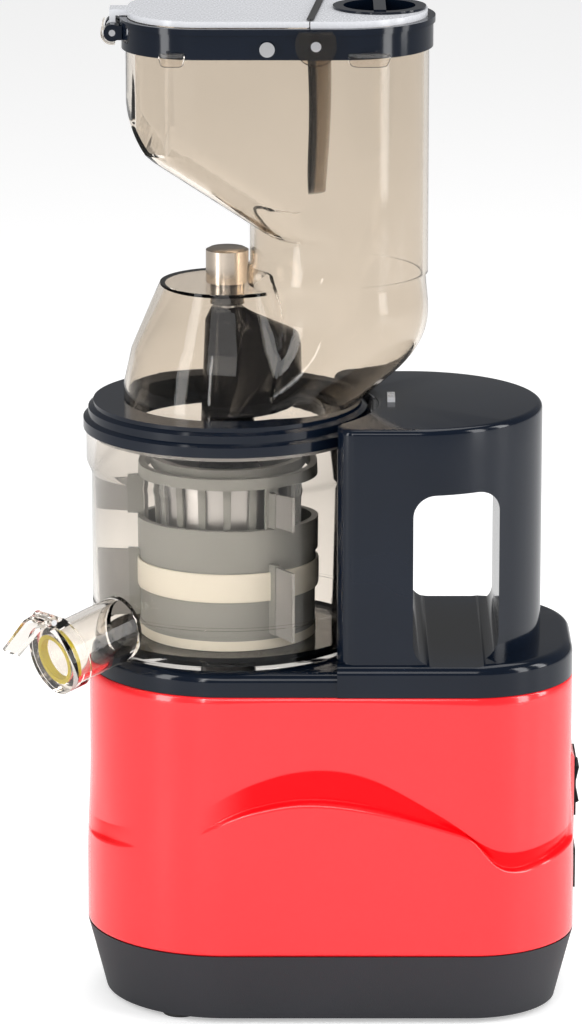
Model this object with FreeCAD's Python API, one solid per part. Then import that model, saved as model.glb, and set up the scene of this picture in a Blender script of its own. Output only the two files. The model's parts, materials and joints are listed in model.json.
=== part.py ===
import FreeCAD, Part
import math
import os

from FreeCAD import Vector

# Driving dimensions, in millimetres and degrees
# Heights are above the surface that the juicer stands on

# general fits
wall = 3.0
clear_wall = 2.5
gap = 0.3
running_gap = 0.06

# base outline: a half circle round the bowl axis on the left, rounded corners on the right
base_half_depth = 68.0
base_right = 170.0
base_corner = 50.0
foot_height = 3.0
foot_radius = 9.0
foot_inset = 24.0
cover_top = 38.0
cover_inset = 9.0
red_top = 171.0
red_swell = 1.5
skirt_swell = 3.2
screw_head_radius = 3.5
screw_shank_radius = 1.5
screw_length = 9.0
board_width = 50.0
board_height = 46.0
board_x = 145.0
capacitor_radius = 11.0
capacitor_height = 38.0

# deck and handle tower
deck_height = 12.0
deck_edge = 5.0
bead_height = 4.0
tower_left = 54.0
tower_centre = 90.0
tower_half_depth = 66.0
seam_drop = 3.0
cap_height = 16.0
nest_gap = 2.4
window_left = 91.0
window_right = 133.5
window_sill = 3.0
window_lintel = 17.0
window_corner = 11.0
deck_bore = 21.0
interlock_size = 14.0
interlock_x = 81.0
tab_width = 12.0

# power switch and inlet on the right end
switch_width = 20.0
switch_height = 25.0
switch_z = 108.5
bezel_border = 2.5
inlet_width = 28.0
inlet_height = 20.0
inlet_depth = 18.0
inlet_z = 66.0
pin_radius = 2.0

# motor and gearbox
module_one = 1.25
motor_teeth = 10
wheel_teeth = 56
module_two = 1.75
pinion_teeth = 12
output_teeth = 40
gear_face = 8.0
output_face = 14.0
layer_gap = 4.0
gearbox_margin = 4.0
gearbox_height = 43.0
gearbox_floor = 3.0
motor_height = 80.0
motor_radius = 36.0
motor_wall = 2.0
rotor_radius = 21.0
stator_thickness = 8.0
motor_shaft_radius = 4.0
fan_radius = 27.0
fan_height = 8.0
fan_blades = 7
axle_radius = 3.0
bearing_width = 5.0
bearing_radius = 15.0
hex_flats = 14.0
hex_rise = 34.0

# juicing bowl
bowl_radius = 67.7
bowl_wall = 2.5
bowl_floor = 4.0
bowl_height = 109.0
collar_radius = 70.2
collar_drop = 16.0
spout_radius = 16.0
spout_wall = 3.0
spout_reach = 38.0
spout_turn = 218.0
spout_fall = 13.0
spout_rise = 7.0
pulp_turn = 130.0
pulp_width = 34.0
pulp_height = 26.0
pulp_reach = 16.0
seal_height = 5.0
spout_seal_width = 4.0
lever_length = 24.0
cap_thickness = 3.0
cap_pin_radius = 1.6

# auger, strainer and brush
brush_module = 1.25
auger_teeth = 20
idler_teeth = 22
ring_teeth = 64
brush_gear_face = 5.0
strainer_foot_radius = 34.0
strainer_top_radius = 37.0
strainer_drop = 13.0
strainer_wall = 2.0
strainer_gap = 2.0
mesh_thickness = 0.6
window_columns = 18
auger_core = 15.0
auger_top_core = 12.0
flight_radius = 30.0
flight_pitch = 36.0
flight_turns = 1.9
flight_thickness = 4.0
crown_radius = 38.0
crown_turns = 0.5
crown_pitch = 84.0
crown_start = 205.0
crown_thickness = 9.0
auger_head_drop = 13.0
auger_pin_radius = 4.0
brush_radius = 41.0
brush_wall = 2.2
brush_arms = 3
band_rise = 45.0
band_width = 17.0
cup_height = 40.0
wiper_thickness = 1.6

# lid, dome, chute and tray hopper
flange_radius = 71.6
flange_height = 13.7
dome_radius = 51.4
dome_rise = 59.0
dome_top_radius = 33.2
boss_radius = 10.6
boss_rise = 17.0
sleeve_wall = 2.0
bush_wall = 2.4
chute_radius = 43.9
chute_centre = 55.0
chute_rise = 49.4
tray_rise = 92.6
tray_depth = 40.0
tray_left = -49.2
tray_corner = 37.0
heel_rise = 32.4
knee_rise = 27.0
tray_knee_x = -30.4
tray_toe_x = 11.2
tray_round = 22.0
collar_height = 15.0
collar_proud = 2.0
lid_thickness = 3.2
lid_split = 44.0
split_lean = 5.0
feed_centre = 74.5
feed_radius = 20.6
plug_depth = 9.0
grip_height = 5.0
grip_width = 6.0
hinge_reach = 6.3
hinge_drop = 7.0
knuckle_radius = 4.2
hinge_pin_radius = 1.6
hinge_width = 30.0
gate_x = 43.4
gate_sink = 7.5
gate_drop = 80.0
gate_half_width = 27.0
gate_thickness = 2.4
gate_shaft_radius = 2.5
gate_reach = 50.0
gate_hub_radius = 10.0
guide_pin_x = 19.9
guide_pin_radius = 3.7

# values worked out from the driving ones
deck_top = red_top + deck_height
bowl_top = deck_top + bowl_height
tower_seam = bowl_top - seam_drop
tower_top = tower_seam + cap_height
window_bottom = deck_top + window_sill
window_top = tower_seam - window_lintel
spout_mouth_z = deck_top + spout_rise
strainer_top = bowl_top - strainer_drop
flange_top = bowl_top + gap + flange_height
dome_top = flange_top + dome_rise
boss_top = dome_top + boss_rise
auger_head = dome_top - auger_head_drop
chute_start = flange_top + chute_rise
tray_toe = flange_top + tray_rise
tray_knee = tray_toe + knee_rise
tray_heel = tray_knee + heel_rise
hopper_top = tray_heel + tray_depth
hinge_z = hopper_top - hinge_drop
hinge_x = tray_left - hinge_reach
gate_z = hopper_top - gate_sink
nest_radius = flange_radius + nest_gap
tower_end_radius = tower_half_depth
idler_centre = brush_module * (auger_teeth + idler_teeth) / 2
ring_pitch = brush_module * ring_teeth / 2
stage_two = module_two * (output_teeth + pinion_teeth) / 2
stage_one = module_one * (wheel_teeth + motor_teeth) / 2
motor_x = stage_two + stage_one
deck_under = deck_top - wall
gearbox_top = deck_under
gearbox_bottom = gearbox_top - gearbox_height
motor_bottom = gearbox_bottom - motor_height
wheel_z = gearbox_bottom + gearbox_floor + layer_gap
output_z = wheel_z + gear_face + layer_gap
bowl_bottom = deck_top + gap
bowl_inside = bowl_bottom + bowl_floor
gear_z = bowl_inside + gap
strainer_foot = gear_z + brush_gear_face + strainer_gap
lid_bottom = bowl_top + gap
hex_top = deck_top + hex_rise
cover_plate = hopper_top + gap
bush_low = auger_head + 2.0

parts = {}


# Basic forms

def rod(radius, z_low, z_high, x=0.0, y=0.0):
    return Part.makeCylinder(radius, z_high - z_low, Vector(x, y, z_low))


def tube(outer, inner, z_low, z_high, x=0.0, y=0.0):
    return rod(outer, z_low, z_high, x, y).cut(rod(inner, z_low - 1, z_high + 1, x, y))


def block(x_low, x_high, y_low, y_high, z_low, z_high):
    corner = Vector(x_low, y_low, z_low)
    return Part.makeBox(x_high - x_low, y_high - y_low, z_high - z_low, corner)


def cross_rod(radius, x, z, y_low, y_high):
    return Part.makeCylinder(radius, y_high - y_low, Vector(x, y_low, z), Vector(0, 1, 0))


def polygon_face(points):
    return Part.Face(Part.makePolygon(points + [points[0]]))


def turned(profile):
    """A solid of revolution about Z from (radius, height) points."""
    face = polygon_face([Vector(radius, 0, height) for radius, height in profile])
    return face.revolve(Vector(0, 0, 0), Vector(0, 0, 1), 360)


def raised(wire, z_low, z_high):
    face = Part.Face(wire)
    face.translate(Vector(0, 0, z_low))
    return face.extrude(Vector(0, 0, z_high - z_low))


def placed(wire, z):
    moved = wire.copy()
    moved.translate(Vector(0, 0, z))
    return moved


def joined(first, others):
    return first.fuse(others).removeSplitter()


def spun(shape, angle, x=0.0, y=0.0):
    copy = shape.copy()
    copy.rotate(Vector(x, y, 0), Vector(0, 0, 1), angle)
    return copy


def on_arc(centre_x, centre_y, radius, angle):
    turn = math.radians(angle)
    return Vector(centre_x + radius * math.cos(turn), centre_y + radius * math.sin(turn), 0)


def arc(centre_x, centre_y, radius, start, end):
    points = [on_arc(centre_x, centre_y, radius, a) for a in (start, (start + end) / 2, end)]
    return Part.Arc(*points).toShape()


def circle_at(x, z, radius):
    return Part.Wire(Part.makeCircle(radius, Vector(x, 0, z)))


# Plan outlines

def base_plan(swell):
    """The base seen from above, swelled outwards."""
    deep = base_half_depth + swell
    corner = base_corner + swell
    corner_x = base_right - base_corner
    corner_y = base_half_depth - base_corner
    left = arc(0, 0, deep, 90, 270)
    low = Part.makeLine(Vector(0, -deep, 0), Vector(corner_x, -deep, 0))
    low_corner = arc(corner_x, -corner_y, corner, -90, 0)
    right = Part.makeLine(Vector(corner_x + corner, -corner_y, 0), Vector(corner_x + corner, corner_y, 0))
    high_corner = arc(corner_x, corner_y, corner, 0, 90)
    high = Part.makeLine(Vector(corner_x, deep, 0), Vector(0, deep, 0))
    return Part.Wire([left, low, low_corner, right, high_corner, high])


def tower_plan(inset):
    """The handle tower from above: a hollowed nest on the left, a half circle on the right."""
    deep = tower_half_depth - inset
    left = tower_left + inset
    nest = nest_radius + inset
    lip = math.degrees(math.acos(left / nest))
    lip_y = nest * math.sin(math.radians(lip))
    edges = [
        Part.makeLine(Vector(left, -lip_y, 0), Vector(left, -deep, 0)),
        Part.makeLine(Vector(left, -deep, 0), Vector(tower_centre, -deep, 0)),
        arc(tower_centre, 0, tower_end_radius - inset, -90, 90),
        Part.makeLine(Vector(tower_centre, deep, 0), Vector(left, deep, 0)),
        Part.makeLine(Vector(left, deep, 0), Vector(left, lip_y, 0)),
        arc(0, 0, nest, lip, -lip),
    ]
    return Part.Wire(edges)


def hopper_plan(swell):
    """The tray and chute from above: rounded corners on the left, the chute's half circle on the right."""
    deep = chute_radius + swell
    left = tray_left - swell
    corner = tray_corner + swell
    corner_x = tray_left + tray_corner
    corner_y = chute_radius - tray_corner
    edges = [
        arc(corner_x, -corner_y, corner, 180, 270),
        Part.makeLine(Vector(corner_x, -deep, 0), Vector(chute_centre, -deep, 0)),
        arc(chute_centre, 0, deep, -90, 90),
        Part.makeLine(Vector(chute_centre, deep, 0), Vector(corner_x, deep, 0)),
        arc(corner_x, corner_y, corner, 90, 180),
        Part.makeLine(Vector(left, corner_y, 0), Vector(left, -corner_y, 0)),
    ]
    return Part.Wire(edges)


def rounded_window(swell, y_low, y_high):
    """The handle opening, swelled outwards and run from front to back."""
    low = Vector(window_left - swell, y_low, window_bottom - swell)
    hole = Part.makeBox(window_right - window_left + 2 * swell, y_high - y_low,
                        window_top - window_bottom + 2 * swell, low)
    upright = [edge for edge in hole.Edges if abs(edge.tangentAt(edge.FirstParameter).y) > 0.9]
    return hole.makeFillet(window_corner + swell, upright)


# Gear wheels

def gear_wire(teeth, module, tip, root, half_width, phase):
    """A toothed outline; half_width is a tooth's half angle at the pitch circle as a share of the pitch."""
    pitch_radius = teeth * module / 2
    step = 360.0 / teeth
    slope = module * 0.36 / pitch_radius * 57.3
    points = []
    for tooth in range(teeth):
        middle = phase + tooth * step
        wide = half_width * step
        for radius, turn in ((root, -wide - slope), (tip, -wide + slope), (tip, wide - slope), (root, wide + slope)):
            points.append(on_arc(0, 0, radius, middle + turn))
    return Part.makePolygon(points + [points[0]])


def outer_gear(teeth, module, z_low, z_high, phase, x=0.0, y=0.0):
    pitch_radius = teeth * module / 2
    wire = gear_wire(teeth, module, pitch_radius + 0.8 * module, pitch_radius - 1.15 * module, 0.2, phase)
    gear = raised(wire, z_low, z_high)
    gear.translate(Vector(x, y, 0))
    return gear


def facing_phase(teeth, towards):
    """The phase that puts a gap, not a tooth, towards a neighbour."""
    return towards + 180.0 / teeth


# Base

def skirt(swell, top, inset):
    """A tapered tub from the foot up to a height, with the base outline."""
    low = placed(base_plan(swell - cover_inset), foot_height + inset)
    high = placed(base_plan(swell), top)
    return Part.makeLoft([low, high], True, True)


def foot_places():
    right = base_right - foot_inset - 16
    deep = base_half_depth - foot_inset
    return [(-foot_inset, -deep), (-foot_inset, deep), (right, -deep), (right, deep)]


def screw_places():
    return [(x + 26, y * 0.6) for x, y in foot_places()[:2]] + [(x - 22, y * 0.6) for x, y in foot_places()[2:]]


def build_bottom():
    outside = skirt(skirt_swell, cover_top, 0)
    inside = skirt(skirt_swell - wall, cover_top, wall)
    lip = raised(base_plan(skirt_swell - wall), cover_top - 1, cover_top + 1)
    cover = outside.cut(inside).cut(lip)
    floor_top = foot_height + wall
    boss_top = foot_height + screw_length
    for x, y in screw_places():
        cover = cover.fuse(rod(screw_head_radius + 2, floor_top - 0.5, boss_top + 2, x, y))
    for angle in (45, 135, 225, 315):
        post = on_arc(motor_x, 0, motor_radius - 4, angle)
        cover = cover.fuse(rod(3.5, floor_top - 0.5, motor_bottom, post.x, post.y))
    for x, y in screw_places():
        cover = cover.cut(rod(screw_head_radius + 0.1, foot_height - 1, foot_height + 2, x, y))
        cover = cover.cut(rod(screw_shank_radius, foot_height, boss_top, x, y))
    for row in range(5):
        x = 30 + row * 9
        cover = cover.cut(block(x, x + 4, -20, 20, foot_height - 1, floor_top + 1))
    parts["bottom_cover"] = cover
    feet = [rod(foot_radius, 0, foot_height, x, y) for x, y in foot_places()]
    feet = [foot.makeFillet(1.0, [foot.Edges[2]]) for foot in feet]
    parts["rubber_feet"] = Part.makeCompound(feet)
    screws = []
    for x, y in screw_places():
        head = rod(screw_head_radius, foot_height + 0.2, foot_height + 2, x, y)
        head = head.cut(block(x - 2.4, x + 2.4, y - 0.5, y + 0.5, foot_height, foot_height + 1.2))
        screws.append(head.fuse(rod(screw_shank_radius - 0.05, foot_height + 1.9, boss_top - 1, x, y)))
    parts["bottom_screws"] = Part.makeCompound(screws)
    board = block(board_x, board_x + 1.6, -board_width / 2, board_width / 2, floor_top, floor_top + board_height)
    chips = [block(board_x - 5, board_x + 0.1, y, y + 9, floor_top + 12, floor_top + 26) for y in (-20, -5, 10)]
    parts["control_board"] = joined(board, chips)
    parts["run_capacitor"] = rod(capacitor_radius, floor_top, floor_top + capacitor_height, -26, 0)


def wave_cutter(crest, drop):
    """Everything above a wave that rises over the front of the base and falls to both ends."""
    heights = [(-90, 78), (-66, 84), (-35, 104), (-5, 126), (25, 134), (60, 131), (90, 116), (112, 98), (128, 92),
               (150, 97), (190, 116)]
    points = [Vector(x, 0, cover_top + (z - 38) * crest - drop) for x, z in heights]
    curve = Part.BSplineCurve()
    curve.interpolate(points)
    top = red_top + 10
    edges = [
        curve.toShape(),
        Part.makeLine(points[-1], Vector(points[-1].x, 0, top)),
        Part.makeLine(Vector(points[-1].x, 0, top), Vector(points[0].x, 0, top)),
        Part.makeLine(Vector(points[0].x, 0, top), points[0]),
    ]
    face = Part.Face(Part.Wire(edges))
    deep = base_half_depth + 20
    face.translate(Vector(0, -deep, 0))
    return face.extrude(Vector(0, 2 * deep, 0))


def build_red_housing():
    body = raised(base_plan(red_swell), cover_top, red_top)
    middle = raised(base_plan((red_swell + skirt_swell) / 2), cover_top, red_top).cut(wave_cutter(1.0, 0))
    lower = raised(base_plan(skirt_swell), cover_top, red_top).cut(wave_cutter(1.0, 14))
    body = body.fuse([middle, lower])
    body = body.cut(raised(base_plan(red_swell - wall), cover_top - 1, red_top + 1))
    face_x = base_right + skirt_swell
    half = switch_width / 2
    tall = switch_height / 2
    pad_low = inlet_z - inlet_height / 2 - 6
    pad_high = switch_z + tall + bezel_border + 3
    pad = block(base_right - 6, face_x, -half - 8, half + 8, pad_low, pad_high)
    body = body.fuse(pad)
    body = body.cut(block(base_right - 20, face_x + 1, -half, half, switch_z - tall, switch_z + tall))
    wide = inlet_width / 2
    high = inlet_height / 2
    body = body.cut(block(base_right - 20, face_x + 1, -wide, wide, inlet_z - high, inlet_z + high))
    parts["red_housing"] = body.removeSplitter()
    border = bezel_border
    bezel = block(face_x, face_x + 1.2, -half - border, half + border, switch_z - tall - border,
                  switch_z + tall + border)
    sleeve = block(face_x - 14, face_x + 0.1, -half + 0.1, half - 0.1, switch_z - tall + 0.1, switch_z + tall - 0.1)
    mouth = block(face_x - 12, face_x + 2, -half + 1.3, half - 1.3, switch_z - tall + 1.3, switch_z + tall - 1.3)
    parts["switch_bezel"] = joined(bezel, [sleeve]).cut(mouth)
    rocker_tall = tall - 1.3 - gap - 0.2
    points = [
        Vector(face_x - 4, 0, switch_z - rocker_tall),
        Vector(face_x + 3.2, 0, switch_z - rocker_tall + 0.6),
        Vector(face_x + 1.0, 0, switch_z),
        Vector(face_x + 3.2, 0, switch_z + rocker_tall - 0.6),
        Vector(face_x - 4, 0, switch_z + rocker_tall),
    ]
    face = polygon_face(points)
    face.translate(Vector(0, -half + 1.7, 0))
    rocker = face.extrude(Vector(0, switch_width - 3.4, 0))
    swing = cross_rod(rocker_tall, face_x - 3.0, switch_z, -half, half)
    parts["power_switch"] = rocker.common(swing)
    socket = block(face_x - inlet_depth, face_x + 1.2, -wide + 0.1, wide - 0.1, inlet_z - high + 0.1,
                   inlet_z + high - 0.1)
    recess = block(face_x - inlet_depth + 2, face_x + 2, -wide + 2.2, wide - 2.2, inlet_z - high + 2.2,
                   inlet_z + high - 2.2)
    parts["power_inlet"] = socket.cut(recess)
    pins = []
    for y, z in ((-7, inlet_z - 2), (0, inlet_z + 2), (7, inlet_z - 2)):
        pins.append(Part.makeCylinder(pin_radius, inlet_depth - 6, Vector(face_x - inlet_depth + 2, y, z),
                                      Vector(1, 0, 0)))
    parts["inlet_pins"] = Part.makeCompound(pins)


def build_upper_housing():
    deck = raised(base_plan(0.5), red_top, deck_top)
    top_edges = [edge for edge in deck.Edges if edge.BoundBox.ZMin > deck_top - 0.1]
    deck = deck.makeFillet(deck_edge, top_edges)
    bead = raised(base_plan(red_swell), red_top, deck_top + bead_height)
    bead = bead.makeFillet(deck_edge, [edge for edge in bead.Edges if edge.BoundBox.ZMin > deck_top + bead_height - 0.1])
    bead = bead.cut(rod(nest_radius, red_top - 1, tower_top))
    bead = bead.cut(block(-90, tower_left, -90, 90, red_top - 1, tower_top))
    tower = raised(tower_plan(0), red_top, tower_seam)
    corner = [edge for edge in tower.Edges if abs(edge.BoundBox.XMin - tower_left) < 0.1
              and edge.BoundBox.ZLength > 50 and abs(edge.BoundBox.YMin) > tower_half_depth - 1]
    tower = tower.makeFillet(9.0, corner)
    body = deck.fuse([bead, tower])
    hollow = raised(base_plan(0.5 - wall), red_top - 1, deck_under)
    hollow = hollow.fuse(raised(tower_plan(wall), red_top - 1, tower_seam + 1))
    keep = rounded_window(wall, -base_half_depth - 5, base_half_depth + 5)
    hollow = hollow.cut(keep)
    body = body.cut(hollow)
    body = body.cut(rounded_window(0, -base_half_depth - 5, base_half_depth + 5))
    body = body.cut(rod(deck_bore, red_top, deck_top + 1))
    lug_angle = 180
    lug = on_arc(0, 0, bowl_radius - 12, lug_angle)
    body = body.cut(rod(4, deck_under + 1, deck_top + 1, lug.x, lug.y))
    parts["upper_housing"] = body.removeSplitter()
    cap = raised(tower_plan(0), tower_seam, tower_top)
    cap = cap.makeFillet(9.0, [edge for edge in cap.Edges if abs(edge.BoundBox.XMin - tower_left) < 0.1
                               and edge.BoundBox.ZLength > 10 and abs(edge.BoundBox.YMin) > tower_half_depth - 1])
    cap = cap.makeFillet(3.0, [edge for edge in cap.Edges if edge.BoundBox.ZMin > tower_top - 0.1])
    cap = cap.cut(raised(tower_plan(wall), tower_seam - 1, tower_top - wall))
    half_tab = tab_width / 2
    cap = cap.cut(block(interlock_x - 2, interlock_x + 2, -half_tab, half_tab, tower_top - wall - 1, tower_top + 1))
    parts["tower_cap"] = cap
    foot_top = tower_top - wall
    tab = block(interlock_x - 1.9, interlock_x + 1.9, 0.1 - half_tab, half_tab - 0.1, foot_top, tower_top + 2.5)
    foot = block(interlock_x - 3, interlock_x + 4, -half_tab - 2, half_tab + 2, foot_top - 2, foot_top)
    parts["interlock_tab"] = tab.fuse(foot)
    parts["interlock_switch"] = block(interlock_x - 3, interlock_x - 3 + interlock_size, -half_tab - 4, half_tab + 4,
                                      foot_top - 2 - interlock_size, foot_top - 2)


# Motor and gearbox

def build_motor():
    bottom = motor_bottom
    top = gearbox_bottom
    can = rod(motor_radius, bottom, top, motor_x)
    can = can.cut(rod(motor_radius - motor_wall, bottom + motor_wall, top - motor_wall, motor_x))
    can = can.cut(rod(motor_shaft_radius + running_gap, bottom - 1, top + 1, motor_x))
    for angle in range(0, 360, 60):
        slot = block(motor_radius - 8, motor_radius + 2, -5, 5, bottom + 6, bottom + 16)
        slot.translate(Vector(motor_x, 0, 0))
        can = can.cut(spun(slot, angle + 30, motor_x))
    parts["motor_can"] = can
    inner = motor_radius - motor_wall
    stator = tube(inner, inner - stator_thickness, bottom + 18, top - 18, motor_x)
    parts["motor_stator"] = stator
    shaft = rod(motor_shaft_radius, bottom - fan_height - 3, wheel_z + gear_face + 1, motor_x)
    core = rod(rotor_radius, bottom + 20, top - 20, motor_x)
    parts["motor_rotor"] = shaft.fuse(core)
    phase = facing_phase(motor_teeth, 180)
    pinion = outer_gear(motor_teeth, module_one, wheel_z, wheel_z + gear_face, phase, motor_x)
    parts["motor_pinion"] = pinion.cut(rod(motor_shaft_radius, wheel_z - 1, wheel_z + gear_face + 1, motor_x))
    fan_low = bottom - fan_height - 2
    hub = tube(9, motor_shaft_radius, fan_low, fan_low + fan_height, motor_x)
    disc = tube(fan_radius, 8, fan_low, fan_low + 1.5, motor_x)
    blades = []
    for number in range(fan_blades):
        blade = block(8, fan_radius - 1, -0.8, 0.8, fan_low + 1, fan_low + fan_height)
        blade.translate(Vector(motor_x, 0, 0))
        blades.append(spun(blade, number * 360.0 / fan_blades, motor_x))
    parts["cooling_fan"] = joined(hub, [disc] + blades)


def slot_plan(swell):
    """The gearbox from above: a stadium from the drive axis to the motor axis."""
    radius = output_teeth * module_two / 2 + gearbox_margin + swell
    edges = [
        arc(0, 0, radius, 90, 270),
        Part.makeLine(Vector(0, -radius, 0), Vector(motor_x, -radius, 0)),
        arc(motor_x, 0, radius, -90, 90),
        Part.makeLine(Vector(motor_x, radius, 0), Vector(0, radius, 0)),
    ]
    return Part.Wire(edges)


def build_gearbox():
    cover_low = gearbox_top - wall
    box = raised(slot_plan(wall), gearbox_bottom, cover_low)
    box = box.cut(raised(slot_plan(0), gearbox_bottom + gearbox_floor, cover_low + 1))
    box = box.cut(rod(motor_shaft_radius + 1, gearbox_bottom - 1, gearbox_bottom + 5, motor_x))
    parts["gearbox_housing"] = box
    cover = raised(slot_plan(wall), cover_low, gearbox_top)
    cover = cover.cut(rod(bearing_radius, cover_low - 1, gearbox_top + 1))
    parts["gearbox_cover"] = cover
    bearing_low = gearbox_top - bearing_width
    parts["drive_bearing"] = tube(bearing_radius, hex_flats / 2 + 1.5 + running_gap, bearing_low, gearbox_top)
    parts["idler_axle"] = rod(axle_radius, gearbox_bottom + gearbox_floor, cover_low, stage_two)
    wheel = outer_gear(wheel_teeth, module_one, wheel_z, wheel_z + gear_face, 0, stage_two)
    pinion_low = wheel_z + gear_face - 0.1
    pinion = outer_gear(pinion_teeth, module_two, pinion_low, output_z + output_face, 0, stage_two)
    compound = wheel.fuse(pinion)
    for angle in range(0, 360, 60):
        hole = on_arc(stage_two, 0, wheel_teeth * module_one * 0.34, angle)
        compound = compound.cut(rod(4.5, wheel_z - 1, wheel_z + gear_face + 1, hole.x, hole.y))
    bore = rod(axle_radius + running_gap, wheel_z - 1, output_z + output_face + 1, stage_two)
    parts["reduction_gear"] = compound.cut(bore)
    phase = facing_phase(output_teeth, 0)
    if pinion_teeth % 2:
        phase = 0
    shaft_radius = hex_flats / 2 + 1.5
    output = outer_gear(output_teeth, module_two, output_z, output_z + output_face, phase)
    output = output.cut(rod(shaft_radius, output_z - 1, output_z + output_face + 1))
    for angle in range(30, 390, 60):
        hole = on_arc(0, 0, output_teeth * module_two * 0.33, angle)
        output = output.cut(rod(5.0, output_z - 1, output_z + output_face + 1, hole.x, hole.y))
    parts["output_gear"] = output
    shank = rod(shaft_radius, gearbox_bottom + gearbox_floor + gap, deck_top - 1)
    hexagon = hex_prism(hex_flats, deck_top - 1.1, hex_top)
    parts["drive_shaft"] = shank.fuse(hexagon)


def hex_prism(flats, z_low, z_high):
    radius = flats / math.sqrt(3)
    points = [on_arc(0, 0, radius, 60 * number) for number in range(6)]
    return raised(Part.makePolygon(points + [points[0]]), z_low, z_high)


# Bowl

def spout_direction():
    turn = math.radians(spout_turn)
    fall = math.radians(spout_fall)
    return Vector(math.cos(turn) * math.cos(fall), math.sin(turn) * math.cos(fall), -math.sin(fall))


def spout_mouth():
    reach = bowl_radius + spout_reach
    turn = math.radians(spout_turn)
    return Vector(reach * math.cos(turn), reach * math.sin(turn), spout_mouth_z)


def along_spout(radius, back, forward):
    """A round bar on the spout's axis, from back behind the mouth to forward past it."""
    direction = spout_direction()
    return Part.makeCylinder(radius, back + forward, spout_mouth() - direction * back, direction)


def build_bowl():
    outer = [(0, bowl_bottom), (bowl_radius - 3, bowl_bottom), (bowl_radius, bowl_bottom + 3),
             (bowl_radius, bowl_top - collar_drop - 6), (collar_radius, bowl_top - collar_drop),
             (collar_radius, bowl_top), (0, bowl_top)]
    inner_radius = bowl_radius - bowl_wall
    cavity = turned([(0, bowl_inside), (inner_radius - 3, bowl_inside), (inner_radius, bowl_inside + 3),
                     (inner_radius, bowl_top + 1), (0, bowl_top + 1)])
    groove = tube(bowl_radius + 5, bowl_radius - 0.6, bowl_bottom + 21, bowl_bottom + 22.5)
    shell = turned(outer)
    body = along_spout(spout_radius, 52, 0)
    turn = math.radians(pulp_turn)
    reach = bowl_radius + pulp_reach
    chute = block(30, reach, -pulp_width / 2, pulp_width / 2, bowl_inside - 2.5, bowl_inside + pulp_height)
    pulp = spun(chute, pulp_turn).cut(shell)
    lip_ring = along_spout(spout_radius + 1.5, 8, 0)
    ears_side = spout_side()
    body = body.fuse(lip_ring)
    hub = cap_hinge_centre()
    ear = Part.makeCylinder(3.4, 14, hub - ears_side * 7, ears_side)
    ears_up = spout_up()
    ahead = spout_direction()
    web_face = polygon_face([hub + ears_up * 3.2, hub - ahead * 6, hub - ahead * 9.4 - ears_up * 4.5,
                             hub - ahead * 2.2 - ears_up * 5.0, hub + ahead * 1.0])
    web_face.translate(ears_side * -7)
    body = body.fuse([web_face.extrude(ears_side * 14), ear])
    body = body.cut(Part.makeCylinder(3.8, 8.6, hub - ears_side * 4.3, ears_side))
    body = body.cut(Part.makeCylinder(cap_pin_radius, 20, hub - ears_side * 10, ears_side))
    bore_bar = along_spout(spout_radius - spout_wall, 60, 1)
    parts["juice_spout"] = body.cut(shell).cut(bore_bar)
    body = shell.cut(cavity).cut(groove).cut(bore_bar)
    bore = block(30, reach + 1, -pulp_width / 2 + 2.5, pulp_width / 2 - 2.5, bowl_inside, bowl_inside + pulp_height - 2.5)
    body = body.cut(spun(bore, pulp_turn))
    parts["pulp_chute"] = pulp.cut(spun(bore, pulp_turn))
    stub = tube(hex_flats / 2 + 5.5, hex_flats / 2 + 3.5, bowl_inside - 0.5, gear_z - gap / 2)
    body = body.cut(rod(hex_flats / 2 + 3.5, bowl_bottom - 1, bowl_inside + 1)).fuse(stub)
    axle = rod(2.5, bowl_inside - 0.5, gear_z + brush_gear_face, 0, idler_centre)
    body = body.fuse(axle)
    lug = on_arc(0, 0, bowl_radius - 12, 180)
    body = body.fuse(rod(3.4, deck_under + 1 + gap, bowl_bottom + 1, lug.x, lug.y))
    parts["juicing_bowl"] = body.removeSplitter()
    parts["bowl_seal"] = tube(hex_flats / 2 + 3.5, shaft_hole(), bowl_bottom + 0.5, bowl_inside)
    plug = block(reach - 9, reach + 2.5, -pulp_width / 2 + 2.6, pulp_width / 2 - 2.6, bowl_inside + 0.1,
                 bowl_inside + pulp_height - 2.6)
    plate = block(reach + 0.5, reach + 3, -pulp_width / 2 - 1, pulp_width / 2 + 1, bowl_inside - 3,
                  bowl_inside + pulp_height + 1)
    parts["pulp_plug"] = spun(plug.fuse(plate), pulp_turn)
    inside_radius = spout_radius - spout_wall
    seal = along_spout(inside_radius - 0.05, spout_seal_width, 0)
    parts["spout_seal"] = seal.cut(along_spout(inside_radius - 2.4, spout_seal_width + 5, 5))
    parts["cap_pin"] = Part.makeCylinder(cap_pin_radius, 14, hub - ears_side * 7, ears_side)


def shaft_hole():
    return hex_flats / math.sqrt(3) + 1.0


def spout_side():
    turn = math.radians(spout_turn)
    return Vector(-math.sin(turn), math.cos(turn), 0)


def spout_up():
    up = spout_direction().cross(spout_side())
    return up * -1 if up.z < 0 else up


def cap_hinge_centre():
    """The spout cap turns on a pin just above the spout's mouth."""
    return spout_mouth() + spout_up() * (spout_radius + 5.5) + spout_direction() * 1.5


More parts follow.
